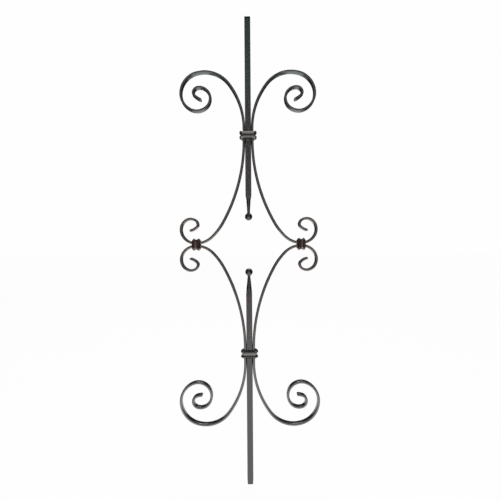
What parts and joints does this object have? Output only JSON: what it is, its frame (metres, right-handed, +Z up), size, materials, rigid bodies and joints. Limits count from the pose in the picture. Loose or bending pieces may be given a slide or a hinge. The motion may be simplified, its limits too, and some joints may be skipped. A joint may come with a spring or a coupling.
{
  "type": "scroll baluster",
  "caption": "Wrought stair baluster: square bars ending in balls, bound between C-scrolls of flat bar by moulded collars.",
  "frame": {"origin": "centre of the lower bar's cut end, where it stands on the tread", "axes": "+Z up along the bars, X across the scrolls, -Y towards the front"},
  "size_m": [0.301, 0.0262, 1],
  "materials": {
    "picket_paint": "satin black paint on a forged square bar",
    "scroll_paint": "satin black paint on forged flat bar",
    "collar_paint": "satin black paint on a moulded steel band",
    "side_collar_paint": "satin brown-black paint on a moulded steel band",
    "tack_paint": "black paint over a weld bead"
  },
  "bodies": {
    "root": {"upper_picket": "picket_paint", "lower_picket": "picket_paint", "upper_left_scroll": "scroll_paint", "upper_right_scroll": "scroll_paint", "lower_left_scroll": "scroll_paint", "lower_right_scroll": "scroll_paint", "upper_collar": "collar_paint", "lower_collar": "collar_paint", "left_side_collar": "side_collar_paint", "right_side_collar": "side_collar_paint", "upper_left_tack": "tack_paint", "upper_right_tack": "tack_paint", "lower_left_tack": "tack_paint", "lower_right_tack": "tack_paint"}
  },
  "joints": []
}
